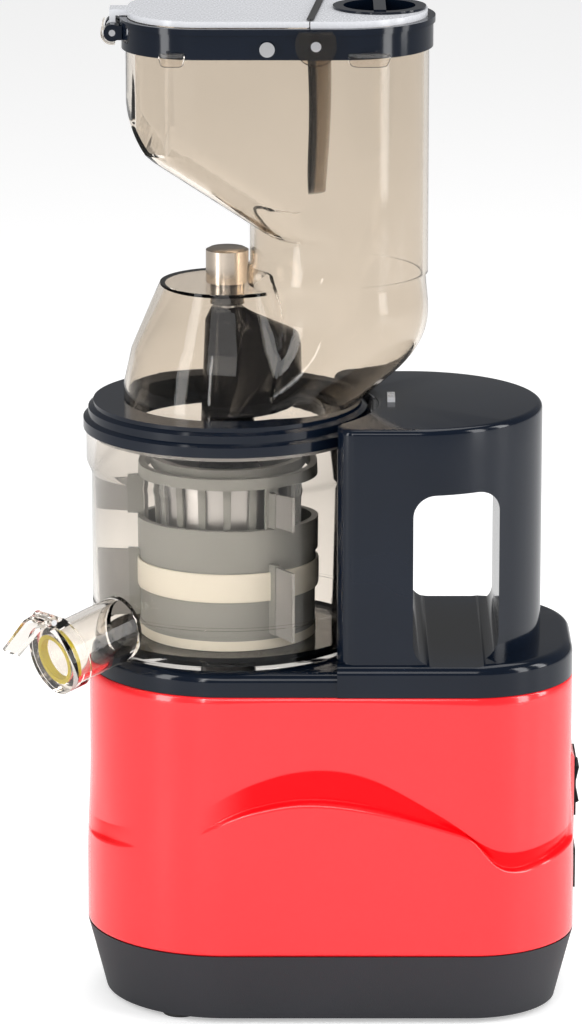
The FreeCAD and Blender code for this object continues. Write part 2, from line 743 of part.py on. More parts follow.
def build_spout_cap():
    direction = spout_direction()
    side = spout_side()
    up = spout_up()
    face = spout_mouth() + direction * gap
    plate = Part.makeCylinder(spout_radius + 1.5, cap_thickness, face, direction)
    hub = cap_hinge_centre()
    knuckle = Part.makeCylinder(3.2, 8, hub - side * 4, side)
    low = face + up * (spout_radius - 4) - side * 4
    neck_points = [low, low + up * 10, low + up * 10 + direction * cap_thickness, low + direction * cap_thickness]
    neck = polygon_face(neck_points).extrude(side * 8)
    start = hub - side * 6
    lever_face = polygon_face([
        start + up * 3.0,
        start + direction * 9 + up * 2.0,
        start + direction * lever_length - up * 7,
        start + direction * (lever_length - 1) - up * 9,
        start + direction * 8 - up * 1.0,
        start - up * 1.0,
    ])
    lever = lever_face.extrude(side * 12)
    clearance = Part.makeCylinder(3.8, 30, hub - side * 19, side)
    clearance = clearance.cut(Part.makeCylinder(4.0, 8, hub - side * 4, side))
    cap = joined(plate, [knuckle, neck, lever]).cut(clearance)
    cap = cap.cut(Part.makeCylinder(cap_pin_radius + running_gap, 40, hub - side * 20, side))
    parts["spout_cap"] = cap


# Auger, strainer and brush

def flight(radius, inner, pitch, turns, z_low, thickness, hand=1):
    """A helical blade on the auger."""
    helix = Part.makeHelix(pitch, pitch * turns, radius, 0, hand < 0)
    points = [
        Vector(inner, 0, -thickness),
        Vector(radius, 0, -thickness / 2),
        Vector(radius, 0, thickness / 2),
        Vector(inner, 0, thickness),
    ]
    profile = Part.makePolygon(points + [points[0]])
    blade = Part.Wire(helix.Edges).makePipeShell([profile], True, True)
    blade.translate(Vector(0, 0, z_low))
    return blade


def build_auger():
    foot = strainer_foot + gap
    hub = gear_z + gap
    body = turned([(0, hub), (brush_module * auger_teeth / 2 - 2, hub), (brush_module * auger_teeth / 2 - 2, foot),
                   (flight_radius - 2, foot), (flight_radius - 2, foot + 3), (auger_core + 3, foot + 10),
                   (auger_core, strainer_top - 30), (auger_core, strainer_top), (auger_top_core, auger_head - 6),
                   (auger_top_core - 5, auger_head), (0, auger_head)])
    lower = flight(flight_radius, auger_core - 2, flight_pitch, flight_turns, foot + 6, flight_thickness / 2)
    upper = flight(crown_radius, auger_top_core - 2, crown_pitch, crown_turns, lid_bottom + 7, crown_thickness / 2)
    upper = spun(upper, crown_start)
    body = body.fuse([lower, upper])
    body = body.cut(hex_prism(hex_flats + 2 * running_gap, hub - 1, hex_top + gap))
    body = body.cut(rod(auger_pin_radius, auger_head - 24, auger_head + 1))
    parts["auger"] = body
    gear = outer_gear(auger_teeth, brush_module, gear_z, gear_z + brush_gear_face, 0)
    hub_radius = brush_module * auger_teeth / 2 - 2
    gear = gear.cut(rod(hub_radius, gear_z - 1, gear_z + brush_gear_face + 1))
    parts["auger_gear"] = gear
    parts["auger_pin"] = rod(auger_pin_radius, auger_head - 24, dome_top + 3)


def strainer_radius(z, inset=0.0):
    share = (z - strainer_foot) / (strainer_top - strainer_foot)
    return strainer_foot_radius + (strainer_top_radius - strainer_foot_radius) * share - inset


def build_strainer():
    foot = strainer_foot
    top = strainer_top

    def shell(outer_inset, inner_inset, z_low, z_high):
        return turned([(strainer_radius(z_low, inner_inset), z_low), (strainer_radius(z_low, outer_inset), z_low),
                       (strainer_radius(z_high, outer_inset), z_high), (strainer_radius(z_high, inner_inset), z_high)])

    frame = shell(0, strainer_wall, foot, top)
    windows = []
    step = 360.0 / window_columns
    width = 2 * math.pi * strainer_foot_radius / window_columns - 3.0
    for number in range(window_columns):
        for z_low, z_high in ((top - 36, top - 9), (foot + 8, foot + 38)):
            window = block(strainer_foot_radius - 10, strainer_top_radius + 5, -width / 2, width / 2, z_low, z_high)
            windows.append(spun(window, number * step))
    frame = frame.cut(Part.makeCompound(windows))
    frame = frame.fuse(tube(strainer_top_radius + 1.5, strainer_top_radius - strainer_wall, top - 4, top))
    legs = []
    for angle in (210, 270, 330):
        leg = block(31.9, 33.9, -3, 3, bowl_inside, foot + 2)
        legs.append(spun(leg, angle))
    frame = frame.fuse(legs)
    parts["strainer_frame"] = frame.removeSplitter()
    parts["strainer_mesh"] = shell(strainer_wall, strainer_wall + mesh_thickness, foot + 2, top - 2)


def build_brush():
    low = gear_z
    high = gear_z + brush_gear_face
    tip = ring_pitch - 0.8 * brush_module
    root = ring_pitch + 1.15 * brush_module
    phase = 90
    if idler_teeth % 2:
        phase = 90 + 180.0 / ring_teeth
    wire = gear_wire(ring_teeth, brush_module, tip, root, 0.2, phase)
    ring = rod(root + brush_wall, low, high).cut(raised(wire, low - 1, high + 1))
    parts["brush_ring_gear"] = ring
    inner = brush_radius
    outer = brush_radius + brush_wall
    band_low = low + band_rise
    band = tube(outer + 1.2, outer, band_low, band_low + band_width)
    parts["brush_band"] = band
    skirt_ring = turned([(inner, high), (root + brush_wall, high), (root + brush_wall, high + 2), (outer, high + 2),
                         (outer, band_low + band_width), (inner, band_low + band_width)])
    slots = []
    for number in range(6):
        slot = block(inner - 3, outer + 3, -7, 7, band_low - cup_height / 2, band_low - 6)
        slots.append(spun(slot, number * 60.0 + 30))
    frame = skirt_ring.cut(Part.makeCompound(slots))
    frame = frame.fuse(tube(outer + 1, inner, strainer_top - 8, strainer_top - 3))
    bars = []
    for number in range(brush_arms):
        bar = block(inner + 0.3, outer - 0.3, -3, 3, band_low + band_width - 1, strainer_top - 7)
        fin = block(outer - 0.6, outer + 6, -1.4, 1.4, high + 3, band_low - 1)
        upper_fin = block(outer - 0.6, outer + 6, -1.4, 1.4, band_low + band_width + 1, strainer_top - 9)
        bars.append(spun(fin, number * 360.0 / brush_arms + 60))
        bars.append(spun(upper_fin, number * 360.0 / brush_arms + 60))
        bars.append(spun(bar, number * 360.0 / brush_arms + 60))
    parts["brush_frame"] = joined(frame, bars)
    wipers = []
    for number in range(brush_arms):
        turn = number * 360.0 / brush_arms + 60
        edge = bowl_radius - bowl_wall - 0.6
        for z_low, z_high in ((high + 3, band_low - 2), (band_low + band_width + 2, strainer_top - 10)):
            outside = block(outer + 6, edge, -wiper_thickness / 2, wiper_thickness / 2, z_low, z_high)
            wipers.append(spun(outside, turn))
        inside = block(strainer_top_radius + 2.1, inner - 0.02, -wiper_thickness / 2, wiper_thickness / 2,
                       high + 4, strainer_top - 10)
        wipers.append(spun(inside, turn))
    parts["brush_wipers"] = Part.makeCompound(wipers)
    idler = outer_gear(idler_teeth, brush_module, low, high, facing_phase(idler_teeth, -90), 0, idler_centre)
    parts["idler_pinion"] = idler.cut(rod(2.5 + running_gap, low - 1, high + 1, 0, idler_centre))


# Lid, dome, chute and hopper

def elbow_rings(inset):
    """Circles down the bend from the chute into the dome: centre, height and radius."""
    drop = [(chute_centre, chute_start + 20, chute_radius), (chute_centre, chute_start, chute_radius + 0.1),
            (chute_centre - 2, chute_start - 15, chute_radius + 0.4), (chute_centre - 11, chute_start - 28, chute_radius + 1.5),
            (chute_centre - 25, chute_start - 40, chute_radius + 2.5), (chute_centre - 43, lid_bottom + 8, chute_radius + 2.5)]
    return [circle_at(x, z, radius - inset) for x, z, radius in drop]


def dome_solid(inset):
    radius = dome_radius - inset
    top = dome_top - inset
    top_radius = dome_top_radius - inset
    low = lid_bottom + (6 if inset == 0 else -1)
    shoulder = [(0, low), (radius, low), (radius, flange_top + 8), (radius - 4, flange_top + 26),
                (top_radius + 4, top - 9), (top_radius, top), (0, top)]
    return turned(shoulder)


def tray_profile(inset):
    """The tray's side outline with its sloping floor."""
    slope = math.atan2(tray_knee - tray_toe, tray_toe_x - tray_knee_x)
    lift = inset / math.cos(slope)
    far = chute_radius * 2
    heel = Vector(tray_left + inset - 0.01, 0, tray_heel + lift)
    knee = Vector(tray_knee_x, 0, tray_knee + lift)
    belly = Vector(tray_left + 6.5 + inset * 0.6, 0, (tray_heel + tray_knee) / 2 + lift - 3)
    end = Vector(chute_centre, 0, tray_knee + lift - (chute_centre - tray_knee_x) * math.tan(slope))
    edges = [
        Part.makeLine(Vector(heel.x, 0, hopper_top + 20), heel),
        Part.Arc(heel, belly, knee).toShape(),
        Part.makeLine(knee, end),
        Part.makeLine(end, Vector(chute_centre, 0, hopper_top + 20)),
        Part.makeLine(Vector(chute_centre, 0, hopper_top + 20), Vector(heel.x, 0, hopper_top + 20)),
    ]
    face = Part.Face(Part.Wire(edges))
    face.translate(Vector(0, -far, 0))
    return face.extrude(Vector(0, 2 * far, 0))


def tray_channel(inset):
    """The tray's cross section, with round lower corners, drawn along the sloping floor."""
    slope = math.atan2(tray_knee - tray_toe, tray_toe_x - tray_knee_x)
    half = chute_radius - inset
    corner = tray_round - inset
    start = tray_left - 5
    length = chute_centre - start
    fall = length * math.tan(slope)
    floor = tray_knee + inset / math.cos(slope) + (tray_knee_x - start) * math.tan(slope)
    high = hopper_top + fall + 20
    bend = corner * (1 - math.sqrt(0.5))
    left = [Vector(start, -half, high), Vector(start, -half, floor + corner), Vector(start, -half + bend, floor + bend),
            Vector(start, -half + corner, floor)]
    right = [Vector(point.x, -point.y, point.z) for point in left]
    edges = [
        Part.makeLine(left[0], left[1]),
        Part.Arc(left[1], left[2], left[3]).toShape(),
        Part.makeLine(left[3], right[3]),
        Part.Arc(right[3], right[2], right[1]).toShape(),
        Part.makeLine(right[1], right[0]),
        Part.makeLine(right[0], left[0]),
    ]
    return Part.Face(Part.Wire(edges)).extrude(Vector(length, 0, -fall))


def rounded_tray(inset, top):
    """The tray's body with its floor rounded into the side walls."""
    tray = raised(hopper_plan(-inset), tray_toe - 40, top).common(tray_profile(inset))
    return tray.common(tray_channel(inset))


def hopper_solid(inset):
    top = hopper_top + (0 if inset == 0 else 1)
    elbow = Part.makeLoft(elbow_rings(inset), True, False)
    chute = rod(chute_radius - inset, chute_start + 15, top, chute_centre)
    tray = rounded_tray(inset, top)
    return dome_solid(inset).fuse([elbow, chute, tray])


def build_hopper():
    flange = turned([(dome_radius - 6, lid_bottom), (flange_radius, lid_bottom), (flange_radius, lid_bottom + 5),
                     (flange_radius - 2.5, lid_bottom + 6.5), (flange_radius - 2.5, flange_top - 3.5),
                     (flange_radius - 5, flange_top - 2), (flange_radius - 5, flange_top), (dome_radius - 6, flange_top)])
    throat = rod(dome_radius - clear_wall, lid_bottom - 5, lid_bottom + 8)
    outside = hopper_solid(0)
    parts["lid_flange"] = flange.cut(outside).cut(throat)
    body = outside.cut(hopper_solid(clear_wall)).cut(throat)
    boss = rod(boss_radius - sleeve_wall, bush_low, boss_top - 2)
    sleeve = tube(boss_radius, boss_radius - sleeve_wall, dome_top, boss_top - 2)
    parts["boss_sleeve"] = sleeve.cut(outside)
    body = body.fuse(boss).cut(rod(auger_pin_radius + bush_wall, bush_low - 1, dome_top + 8))
    inner_bore = cross_rod(gate_shaft_radius + running_gap, gate_x, gate_z, -chute_radius - 20, chute_radius + 20)
    body = body.cut(inner_bore)
    parts["hopper_body"] = body.removeSplitter()
    parts["top_bush"] = tube(auger_pin_radius + bush_wall, auger_pin_radius + running_gap, bush_low, dome_top + 8)
    parts["boss_cap"] = turned([(0, boss_top - 2), (boss_radius, boss_top - 2), (boss_radius, boss_top - 1),
                                (boss_radius - 2, boss_top), (0, boss_top)])
    low = hopper_top - collar_height
    collar = raised(hopper_plan(collar_proud), low, hopper_top).cut(raised(hopper_plan(0), low - 1, hopper_top + 1))
    lip = raised(hopper_plan(collar_proud + 1), hopper_top - 3, hopper_top)
    lip = lip.cut(raised(hopper_plan(0), low - 1, hopper_top + 1))
    collar = collar.fuse(lip).cut(inner_bore)
    half = hinge_width / 2
    for y in (-half, half - 8):
        arm = block(hinge_x, tray_left - collar_proud + 0.5, y, y + 8, hinge_z - 3.5, hinge_z + 3.5)
        collar = collar.fuse(arm.fuse(cross_rod(knuckle_radius, hinge_x, hinge_z, y, y + 8)))
    collar = collar.cut(cross_rod(hinge_pin_radius, hinge_x, hinge_z, -half - 1, half + 1))
    parts["rim_collar"] = collar.removeSplitter()
    parts["hinge_pin"] = cross_rod(hinge_pin_radius, hinge_x, hinge_z, -half, half)
    split_low = [Vector(lid_split - split_lean, -60, 0), Vector(lid_split + split_lean, 60, 0)]
    right_side = polygon_face([split_low[0] + Vector(gap, 0, 0), Vector(150, -60, 0), Vector(150, 60, 0),
                               split_low[1] + Vector(gap, 0, 0)])
    right_side = right_side.extrude(Vector(0, 0, hopper_top * 2))
    left_side = polygon_face([split_low[0] - Vector(gap, 0, 0), split_low[1] - Vector(gap, 0, 0),
                              Vector(-90, 60, 0), Vector(-90, -60, 0)])
    left_side = left_side.extrude(Vector(0, 0, hopper_top * 2))
    cover = raised(hopper_plan(-0.8), hopper_top, hopper_top + lid_thickness).common(right_side)
    cover = cover.fuse(raised(hopper_plan(-clear_wall - gap), hopper_top - 2.5, hopper_top + 0.5).common(right_side))
    cover = cover.cut(rod(feed_radius + gap, hopper_top - 10, hopper_top + 10, feed_centre))
    notch = cross_rod(gate_shaft_radius + 3.5, gate_x, gate_z, -60, 60)
    parts["chute_cover"] = cover.cut(notch)
    lid = raised(hopper_plan(-0.8), cover_plate, hopper_top + lid_thickness).common(left_side)
    seal_depth = 2.0
    lid_rib = raised(hopper_plan(-clear_wall - gap), hopper_top - seal_depth, cover_plate + 0.5)
    lid_rib = lid_rib.cut(raised(hopper_plan(-clear_wall - gap - 2), hopper_top - seal_depth - 1, cover_plate + 1))
    lid = lid.fuse(lid_rib.common(left_side).common(block(-25, 30, -60, 60, hopper_top - 50, hopper_top + 50)))
    inner_half = half - 8 - gap
    arm_left = hinge_x - 1.5
    arm = block(arm_left, hinge_x + 1.5, -inner_half, inner_half, hinge_z, hopper_top + lid_thickness)
    bridge = block(arm_left, tray_left + 8, -inner_half, inner_half, cover_plate, hopper_top + lid_thickness)
    lid = lid.fuse([arm, bridge, cross_rod(knuckle_radius - 0.6, hinge_x, hinge_z, -inner_half, inner_half)])
    lid = lid.cut(cross_rod(hinge_pin_radius + running_gap, hinge_x, hinge_z, -half, half))
    parts["tray_lid"] = lid.removeSplitter()
    plug = rod(feed_radius, hopper_top - plug_depth, hopper_top + lid_thickness, feed_centre)
    rim = tube(feed_radius + 2.2, feed_radius - 1, hopper_top + lid_thickness + 0.1, hopper_top + lid_thickness + 1.2,
               feed_centre)
    plug = plug.cut(rod(feed_radius - 3, hopper_top - 2, hopper_top + 10, feed_centre))
    grip = block(feed_centre - grip_width / 2, feed_centre + grip_width / 2, -feed_radius + 2.5, feed_radius - 2.5,
                 hopper_top - 2.5, hopper_top + grip_height)
    rim_link = tube(feed_radius, feed_radius - 3, hopper_top, hopper_top + lid_thickness + 1.2, feed_centre)
    parts["feed_plug"] = joined(plug, [grip, rim, rim_link])
    pins = [cross_rod(guide_pin_radius, guide_pin_x, gate_z - 2, -chute_radius - collar_proud - 3,
                      -chute_radius - collar_proud)]
    parts["guide_pin"] = pins[0]


def build_gate():
    reach = gate_reach
    shaft = cross_rod(gate_shaft_radius, gate_x, gate_z, -reach - 2, chute_radius - clear_wall + 2)
    blade = block(gate_x - gate_thickness / 2, gate_x + gate_thickness / 2, -gate_half_width, gate_half_width,
                  gate_z - gate_drop, gate_z)
    sleeve = cross_rod(gate_shaft_radius + 1.8, gate_x, gate_z, -gate_half_width, gate_half_width)
    stiff = [block(gate_x - gate_thickness / 2, gate_x + 3.5, y, y + 2, gate_z - gate_drop + 6, gate_z)
             for y in (-gate_half_width + 4, -1, gate_half_width - 6)]
    gate = joined(blade, [sleeve] + stiff)
    gate = gate.cut(cross_rod(gate_shaft_radius, gate_x, gate_z, -90, 90))
    parts["swing_gate"] = gate
    parts["gate_shaft"] = shaft
    outside = -chute_radius - collar_proud - 1
    hub = cross_rod(gate_hub_radius, gate_x, gate_z, outside - 4, outside - gap)
    hub = hub.cut(block(gate_x - 20, gate_x + 20, outside - 6, outside, gate_z + 6, gate_z + 20))
    pointer = block(gate_x - 2, gate_x + 2, outside - 5.5, outside - 3.5, gate_z - 9, gate_z + 5)
    parts["gate_hub"] = hub.fuse(pointer).cut(cross_rod(gate_shaft_radius, gate_x, gate_z, -90, 90))
    parts["lid_seal"] = tube(bowl_radius - bowl_wall - 0.4, bowl_radius - bowl_wall - seal_height,
                             lid_bottom - 3, lid_bottom)


for build in (build_bottom, build_red_housing, build_upper_housing, build_motor, build_gearbox, build_bowl,
              build_spout_cap, build_auger, build_strainer, build_brush, build_hopper, build_gate):
    build()

# The origin is at the middle of the finished outline, on the standing surface
box = FreeCAD.BoundBox()
for shape in parts.values():
    box.add(shape.BoundBox)
shift = Vector(-(box.XMin + box.XMax) / 2, -(box.YMin + box.YMax) / 2, -box.ZMin)

os.makedirs("parts", exist_ok=True)
for name, shape in parts.items():
    shape.translate(shift)
    shape.exportStep("parts/" + name + ".step")

print("nodes", len(parts), "shift", round(shift.x, 3), round(shift.y, 3), round(shift.z, 3))
print("size", round(box.XLength, 1), round(box.YLength, 1), round(box.ZLength, 1))
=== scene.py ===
# %% [markdown]
# A cold press juicer, dressed for a studio photograph
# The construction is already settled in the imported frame: every shell, gear and hinge has its real size
# and place there. This lesson adds the looks. Each step says what the piece is on the real juicer, how it
# could be made, and why this way was chosen.

# %% Load the frame
import json
import math

import bpy
import numpy as np
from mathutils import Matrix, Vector


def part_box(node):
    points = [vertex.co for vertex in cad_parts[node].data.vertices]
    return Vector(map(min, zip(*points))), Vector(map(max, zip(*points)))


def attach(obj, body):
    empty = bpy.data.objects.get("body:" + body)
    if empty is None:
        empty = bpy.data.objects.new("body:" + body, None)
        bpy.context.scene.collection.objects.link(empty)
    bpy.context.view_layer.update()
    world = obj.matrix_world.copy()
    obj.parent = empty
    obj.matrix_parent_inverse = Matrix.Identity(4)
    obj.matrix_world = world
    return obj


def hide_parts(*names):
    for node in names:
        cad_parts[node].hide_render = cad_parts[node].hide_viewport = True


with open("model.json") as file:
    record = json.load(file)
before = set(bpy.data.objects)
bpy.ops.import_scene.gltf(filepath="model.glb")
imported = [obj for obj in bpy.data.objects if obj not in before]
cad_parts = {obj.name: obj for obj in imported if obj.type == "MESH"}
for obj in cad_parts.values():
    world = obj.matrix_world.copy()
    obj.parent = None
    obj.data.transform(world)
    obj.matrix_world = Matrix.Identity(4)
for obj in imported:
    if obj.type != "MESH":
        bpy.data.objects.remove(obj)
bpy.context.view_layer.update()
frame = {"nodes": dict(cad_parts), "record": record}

record = frame["record"]
nodes = frame["nodes"]

# %% [markdown]
# The juicer's own axis
# Most of the machine is built round one upright axis, which the bowl, strainer, auger and dome share. It is
# measured from the frame, so that every new surface is concentric with the solid that it covers.

# %% Measure the axis
MM = 0.001


def middle(node):
    """The centre and half size of a solid's box, in metres."""
    low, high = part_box(node)
    return (low + high) / 2, (high - low) / 2


bowl_axis = middle("bowl_seal")[0]
AX, AY = bowl_axis.x, bowl_axis.y
print("bowl axis", round(AX, 4), round(AY, 4))

# %% [markdown]
# The camera
# The photograph was taken with a long lens from about three metres, a little above the juicer: the base
# shows more of its top than the tray does of its lid, and that change gives the distance. The lens is in
# real millimetres, so the perspective is the same as in the picture.

# %% Place the camera
CAMERA_DISTANCE = 2.800
CAMERA_HEIGHT = 0.960
CAMERA_PITCH = math.radians(14.278)
CAMERA_SIDE = 31.4 * MM
LENS = 203.94

camera_data = bpy.data.cameras.new("camera")
camera_data.lens = LENS
camera_data.sensor_width = 36.0
camera_data.clip_end = 100.0
camera = bpy.data.objects.new("camera", camera_data)
bpy.context.scene.collection.objects.link(camera)
camera.location = (AX + CAMERA_SIDE, AY - CAMERA_DISTANCE, CAMERA_HEIGHT)
camera.rotation_euler = (math.pi / 2 - CAMERA_PITCH, 0, 0)
bpy.context.scene.camera = camera
bpy.context.scene.view_settings.view_transform = "Standard"
print("camera at", [round(c, 3) for c in camera.location])

# %% [markdown]
# Shader helpers
# Moulded plastic is never perfectly even. Each finish below starts from the same three ideas: a slow
# drift of the colour, a fine change of the roughness, and a very shallow bump. They read the object's own
# coordinates, so the pattern stays put when a part moves.

# %% A small material maker
RAMP_START, RAMP_END = 0.3, 0.7
DRIFT_SCALE = 14.0
BUMP_HEIGHT = 0.2 * MM
COAT_ROUGHNESS = 0.04


def surface_of(material):
    """A material's node tree and the surface shader in it."""
    tree = material.node_tree
    return tree, next(n for n in tree.nodes if n.type == "BSDF_PRINCIPLED")


def shader(name):
    """A new material, its node tree and the surface shader in it."""
    material = bpy.data.materials.new(name)
    material.use_nodes = True
    return material, *surface_of(material)


def noise(tree, scale, detail, stretch=(1.0, 1.0, 1.0)):
    """A noise on object coordinates; stretch squeezes it along the axes."""
    where = tree.nodes.new("ShaderNodeTexCoord")
    mapping = tree.nodes.new("ShaderNodeMapping")
    mapping.inputs["Scale"].default_value = stretch
    texture = tree.nodes.new("ShaderNodeTexNoise")
    texture.inputs["Scale"].default_value = scale
    texture.inputs["Detail"].default_value = detail
    tree.links.new(where.outputs["Object"], mapping.inputs["Vector"])
    tree.links.new(mapping.outputs["Vector"], texture.inputs["Vector"])
    return texture


def recolour(tree, surface, attribute_name, colour):
    """Turns the base colour to this one where the mesh's attribute is 1, and returns that attribute."""
    mask = tree.nodes.new("ShaderNodeAttribute")
    mask.attribute_name = attribute_name
    mix = tree.nodes.new("ShaderNodeMix")
    mix.data_type = "RGBA"
    mix.inputs["B"].default_value = (*colour, 1.0)
    tree.links.new(mask.outputs["Fac"], mix.inputs["Factor"])
    tree.links.new(surface.inputs["Base Color"].links[0].from_socket, mix.inputs["A"])
    tree.links.new(mix.outputs["Result"], surface.inputs["Base Color"])
    return mask.outputs["Fac"]


def ramp(tree, source, low, high):
    """Turns a grey pattern into a drift between two colours."""
    node = tree.nodes.new("ShaderNodeValToRGB")
    node.color_ramp.elements[0].color = (*low, 1.0)
    node.color_ramp.elements[1].color = (*high, 1.0)
    node.color_ramp.elements[0].position = RAMP_START
    node.color_ramp.elements[1].position = RAMP_END
    tree.links.new(source, node.inputs["Fac"])
    return node.outputs["Color"]


def spread(tree, source, low, high):
    """Maps a grey pattern to a range of values."""
    node = tree.nodes.new("ShaderNodeMapRange")
    node.inputs["To Min"].default_value = low
    node.inputs["To Max"].default_value = high
    tree.links.new(source, node.inputs["Value"])
    return node.outputs["Result"]


def bump(tree, surface, source, strength, distance):
    """Lets a grey pattern tilt the surface normal a little."""
    node = tree.nodes.new("ShaderNodeBump")
    node.inputs["Strength"].default_value = strength
    node.inputs["Distance"].default_value = distance
    tree.links.new(source, node.inputs["Height"])
    tree.links.new(node.outputs["Normal"], surface.inputs["Normal"])


def finish(name, colour, drift, rough, grain, depth, metal=0.0, coat=0.0, clear=0.0, ior=1.46, shine=0.5,
           stretch=(1.0, 1.0, 1.0)):
    """A moulded or metal finish: colour drift, roughness drift and a fine grain."""
    material, tree, surface = shader(name)
    slow = noise(tree, DRIFT_SCALE, 2.0)
    fine = noise(tree, grain, 4.0, stretch)
    low = tuple(c * (1.0 - drift) for c in colour)
    high = tuple(min(1.0, c * (1.0 + drift)) for c in colour)
    tree.links.new(ramp(tree, slow.outputs["Fac"], low, high), surface.inputs["Base Color"])
    tree.links.new(spread(tree, fine.outputs["Fac"], *rough), surface.inputs["Roughness"])
    bump(tree, surface, fine.outputs["Fac"], depth, BUMP_HEIGHT)
    surface.inputs["Metallic"].default_value = metal
    surface.inputs["Coat Weight"].default_value = coat
    surface.inputs["Coat Roughness"].default_value = COAT_ROUGHNESS
    surface.inputs["Transmission Weight"].default_value = clear
    surface.inputs["IOR"].default_value = ior
    surface.inputs["Specular IOR Level"].default_value = shine
    return material


# %% [markdown]
# The finishes
# The red body is a gloss moulding under a clear lacquer. The black upper housing has a bluish depth and no
# lacquer. The bowl is a clear plastic with a slight warm tint, and the dome, the chute and the tray have more
# of it. Light bends little in both, and the tint deepens where two walls overlap. The bottom cover is matte.
#
# Each row holds the colour, how far it drifts, the range of the roughness, the fineness of the grain and
# its depth. What is left out keeps the usual value of a plain plastic.

# %% Make the finishes
# The darker red for the ledge band is painted shade, because that band faces down and lies in shade.
LEDGE_SHADE_RED = (0.80, 0.002, 0.006)
RIM_BLACK = (0.006, 0.005, 0.005)
CLEAR = {"clear": 1.0, "ior": 1.26}
METAL = {"metal": 1.0}
finishes = {
    "gloss_red": finish("gloss_red", (0.91, 0.013, 0.019), 0.04, (0.16, 0.24), 500.0, 0.03, coat=0.5),
    "gloss_black": finish("gloss_black", (0.003, 0.006, 0.013), 0.15, (0.08, 0.14), 600.0, 0.02, shine=0.34),
    "matte_grey": finish("matte_grey", (0.017, 0.0175, 0.022), 0.10, (0.42, 0.58), 1800.0, 0.35),
    "smoke_plastic": finish("smoke_plastic", (0.80, 0.735, 0.655), 0.02, (0.02, 0.05), 60.0, 0.02, **CLEAR),
    "clear_plastic": finish("clear_plastic", (0.84, 0.80, 0.75), 0.02, (0.02, 0.05), 60.0, 0.02, **CLEAR),
    "white_plastic": finish("white_plastic", (0.62, 0.63, 0.66), 0.02, (0.22, 0.32), 900.0, 0.05, coat=0.2),
    "cream_plastic": finish("cream_plastic", (0.95, 0.92, 0.82), 0.04, (0.35, 0.5), 900.0, 0.08),
    "grey_plastic": finish("grey_plastic", (0.34, 0.35, 0.34), 0.08, (0.32, 0.45), 900.0, 0.08),
    "dark_plastic": finish("dark_plastic", (0.002, 0.002, 0.004), 0.15, (0.12, 0.20), 900.0, 0.06, shine=0.2),
    "silicone_yellow": finish("silicone_yellow", (0.60, 0.50, 0.02), 0.06, (0.40, 0.55), 700.0, 0.08),
    "silicone_grey": finish("silicone_grey", (0.40, 0.40, 0.40), 0.05, (0.5, 0.65), 700.0, 0.08),
    "rubber": finish("rubber", (0.03, 0.03, 0.03), 0.10, (0.6, 0.8), 1500.0, 0.3),
    "steel": finish("steel", (0.55, 0.55, 0.56), 0.08, (0.25, 0.4), 300.0, 0.15, stretch=(1, 1, 12), **METAL),
    "chrome": finish("chrome", (0.78, 0.78, 0.80), 0.03, (0.06, 0.12), 200.0, 0.02, **METAL),
    "champagne_metal": finish("champagne_metal", (0.62, 0.53, 0.44), 0.05, (0.18, 0.3), 300.0, 0.1,
                              stretch=(1, 1, 10), **METAL),
    "aluminium": finish("aluminium", (0.58, 0.58, 0.60), 0.05, (0.35, 0.5), 700.0, 0.2, **METAL),
}


def paint_ledge_shade(material):
    """Painted shade on the red ledge: there the colour is darkened, the lacquer fades out and the shine is
    low.
    """
    tree, surface = surface_of(material)
    # Painted shade: where the ledge attribute is 1, the red turns darker and loses its lacquer and shine.
    ledge = recolour(tree, surface, "ledge", LEDGE_SHADE_RED)
    tree.links.new(spread(tree, ledge, 0.5, 0.0), surface.inputs["Coat Weight"])
    tree.links.new(spread(tree, ledge, 0.5, 0.12), surface.inputs["Specular IOR Level"])


def gate_finish():
    """The gate's smoke plastic is thicker, so it is darker, and its rim is black."""
    material = finish("smoke_gate", (0.40, 0.33, 0.25), 0.05, (0.05, 0.1), 60.0, 0.02, clear=0.75, ior=1.26)
    tree, surface = surface_of(material)
    rim = recolour(tree, surface, "rim", RIM_BLACK)
    tree.links.new(spread(tree, rim, 0.75, 0.0), surface.inputs["Transmission Weight"])
    return material


paint_ledge_shade(finishes["gloss_red"])
print("finishes", len(finishes))

# %% [markdown]
# Dress the solids
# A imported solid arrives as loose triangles, so light would break at every facet. Welding its points and
# splitting only the sharp edges gives smooth rounds and crisp corners with no change to the shape.

# %% Give every solid its finish
SHARP = math.radians(32)
WELD_REACH = 0.01 * MM


def smooth(piece):
    """Weld the points, shade smooth and keep the edges that are really sharp."""
    weld = piece.modifiers.new("weld", "WELD")
    weld.merge_threshold = WELD_REACH
    split = piece.modifiers.new("sharp", "EDGE_SPLIT")
    split.split_angle = SHARP
    piece.data.polygons.foreach_set("use_smooth", np.ones(len(piece.data.polygons), bool))
    piece.data.update()


def paint(piece, finish_name):
    """Gives a piece one finish and no other."""
    piece.data.materials.clear()
    piece.data.materials.append(finishes[finish_name])


for part in record["subparts"]:
    solid = nodes[part["node"]]
    paint(solid, part["material_slot"])
    smooth(solid)

# The brush's band is grey like its cup, because a later cell puts a cream ring round it. The cap on the
# dome's boss is the same metal as its sleeve.
paint(nodes["brush_band"], "grey_plastic")
paint(nodes["boss_cap"], "champagne_metal")
print("dressed", len(record["subparts"]), "solids")

# %% [markdown]
# The red housing
# A gloss moulding with one soft ledge: a wave climbs over the front from the left, falls again before the
# handle and runs round the right end. A boolean cutter would leave facets along the wave. Here the rows of
# the grid follow the ledge itself, so its two edges are crisp lines of the mesh and the highlights run
# through without a break. The switch and the inlet need their openings in the flat end.
#
# All sizes are millimetres. The ledge's foot and brow are given as distances to the right of the bowl's
# axis, each with its height, and a spline runs through them.

